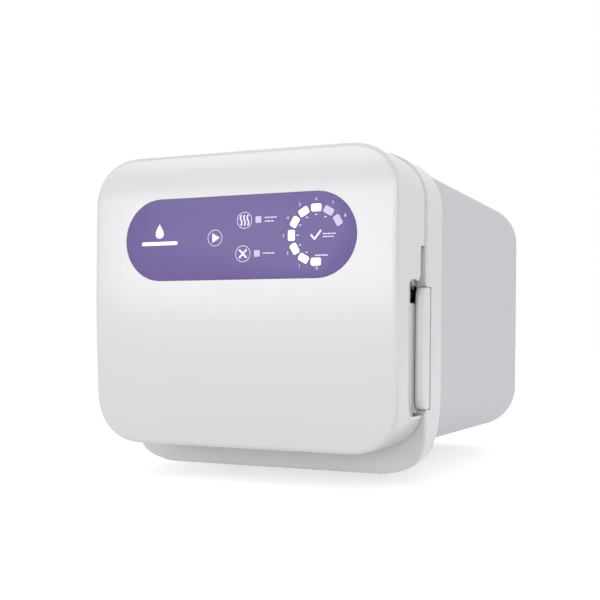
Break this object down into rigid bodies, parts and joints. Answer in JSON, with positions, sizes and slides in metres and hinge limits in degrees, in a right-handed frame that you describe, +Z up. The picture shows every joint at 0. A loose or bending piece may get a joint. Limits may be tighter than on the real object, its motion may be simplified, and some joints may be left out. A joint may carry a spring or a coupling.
{
  "type": "benchtop autoclave",
  "caption": "Benchtop steam autoclave: side-hinged door with touch panel and latch lever, round chamber with slide-out trays, painted casing on feet.",
  "frame": {"origin": "centre of the footprint on the table, under the middle of the bounding box", "axes": "+Z up, +Y from the door to the back panel, +X to the user's right when facing the door"},
  "size_m": [0.263, 0.412, 0.2606],
  "materials": {
    "white_shell": "satin moulded",
    "casing_paint": "fine satin powder coat",
    "panel_film": "satin printed film",
    "light_on": "lit diffuser",
    "light_off": "frosted diffuser",
    "stainless": "brushed",
    "steel_plate": "zinc plated",
    "aluminium": "machined",
    "screw_steel": "plated",
    "brass": "machined",
    "copper": "drawn tube",
    "silicone": "moulded silicone",
    "black_rubber": "moulded",
    "black_plastic": "moulded",
    "grey_plastic": "moulded",
    "circuit_board": "solder mask",
    "electronic_parts": "moulded",
    "glass_wool": "felted blanket",
    "heater_foil": "silicone heater mat"
  },
  "bodies": {
    "root": {"body_casing": "casing_paint", "back_panel": "casing_paint", "back_panel_screws": "screw_steel", "base_plate": "steel_plate", "front_bezel": "white_shell", "bezel_screws": "screw_steel", "chamber": "stainless", "chamber_flange": "aluminium", "bracket_screws": "screw_steel", "heater_band": "heater_foil", "insulation_blanket": "glass_wool", "chamber_saddles": "steel_plate", "chamber_sensors": "brass", "hinge_bracket": "steel_plate", "hinge_pin": "stainless", "latch_bracket": "steel_plate", "claw_pin": "stainless", "lever_pin": "stainless", "tray_rack": "stainless", "power_inlet": "black_plastic", "inlet_pins": "brass", "switch_housing": "black_plastic", "fuse_holders": "black_plastic", "discharge_outlet": "brass", "safety_valve": "brass", "steam_pipes": "copper", "solenoid_valve": "brass", "solenoid_coil": "black_plastic", "power_board": "circuit_board", "power_board_parts": "electronic_parts", "board_stands": "grey_plastic", "rubber_feet": "black_rubber"},
    "door": {"door_cover": "white_shell", "panel_overlay": "panel_film", "led_windows_lit": "light_on", "led_windows_unlit": "light_off", "indicator_lamps": "light_off", "display_board": "circuit_board", "board_switches_and_leds": "electronic_parts", "door_screws": "screw_steel", "door_liner": "grey_plastic", "pressure_door": "stainless", "door_gasket": "silicone", "door_yoke": "steel_plate", "door_spindle": "stainless", "spindle_nuts": "screw_steel", "door_hinge_arm": "steel_plate", "yoke_screws": "screw_steel", "striker_bracket": "steel_plate", "striker_pin": "stainless"},
    "lever": {"door_lever": "white_shell"},
    "claw": {"latch_claw": "steel_plate"},
    "start_key": {"start_key": "panel_film"},
    "dry_key": {"dry_key": "panel_film"},
    "cancel_key": {"cancel_key": "panel_film"},
    "tray_top": {"tray_top": "stainless"},
    "tray_middle": {"tray_middle": "stainless"},
    "tray_bottom": {"tray_bottom": "stainless"},
    "rocker": {"power_rocker": "black_plastic"},
    "valve_pull": {"valve_pull": "stainless"}
  },
  "joints": [
    {"name": "door_hinge", "type": "hinge", "parent": "root", "child": "door", "pos_m": [-0.121, -0.14765, 0.141], "axis": [0, 0, -1], "range_deg": [0, 92]},
    {"name": "lever_hinge", "type": "hinge", "parent": "root", "child": "lever", "pos_m": [0.12855, -0.12945, 0.1055], "axis": [0, 0, 1], "range_deg": [0, 60]},
    {"name": "claw_pivot", "type": "hinge", "parent": "root", "child": "claw", "pos_m": [0.112, -0.12595, 0.1465], "axis": [0, 0, -1], "range_deg": [0, 22]},
    {"name": "start_key_press", "type": "slide", "parent": "door", "child": "start_key", "axis": [0, 1, 0], "range_m": [0, 0.0005], "stiffness_N_per_m": 300},
    {"name": "dry_key_press", "type": "slide", "parent": "door", "child": "dry_key", "axis": [0, 1, 0], "range_m": [0, 0.0005], "stiffness_N_per_m": 300},
    {"name": "cancel_key_press", "type": "slide", "parent": "door", "child": "cancel_key", "axis": [0, 1, 0], "range_m": [0, 0.0005], "stiffness_N_per_m": 300},
    {"name": "tray_top_slide", "type": "slide", "parent": "root", "child": "tray_top", "axis": [0, -1, 0], "range_m": [0, 0.057]},
    {"name": "tray_middle_slide", "type": "slide", "parent": "root", "child": "tray_middle", "axis": [0, -1, 0], "range_m": [0, 0.075]},
    {"name": "tray_bottom_slide", "type": "slide", "parent": "root", "child": "tray_bottom", "axis": [0, -1, 0], "range_m": [0, 0.094]},
    {"name": "rocker_tilt", "type": "hinge", "parent": "root", "child": "rocker", "pos_m": [-0.066, 0.18805, 0.1], "axis": [1, 0, 0], "range_deg": [0, 16]},
    {"name": "valve_pull_slide", "type": "slide", "parent": "root", "child": "valve_pull", "axis": [0, 1, 0], "range_m": [0, 0.003], "stiffness_N_per_m": 800}
  ],
  "couplings": [
    {"joint": "tray_top_slide", "follows": "door_hinge", "m_per_rad": 0.035},
    {"joint": "tray_middle_slide", "follows": "door_hinge", "m_per_rad": 0.046},
    {"joint": "tray_bottom_slide", "follows": "door_hinge", "m_per_rad": 0.058}
  ]
}
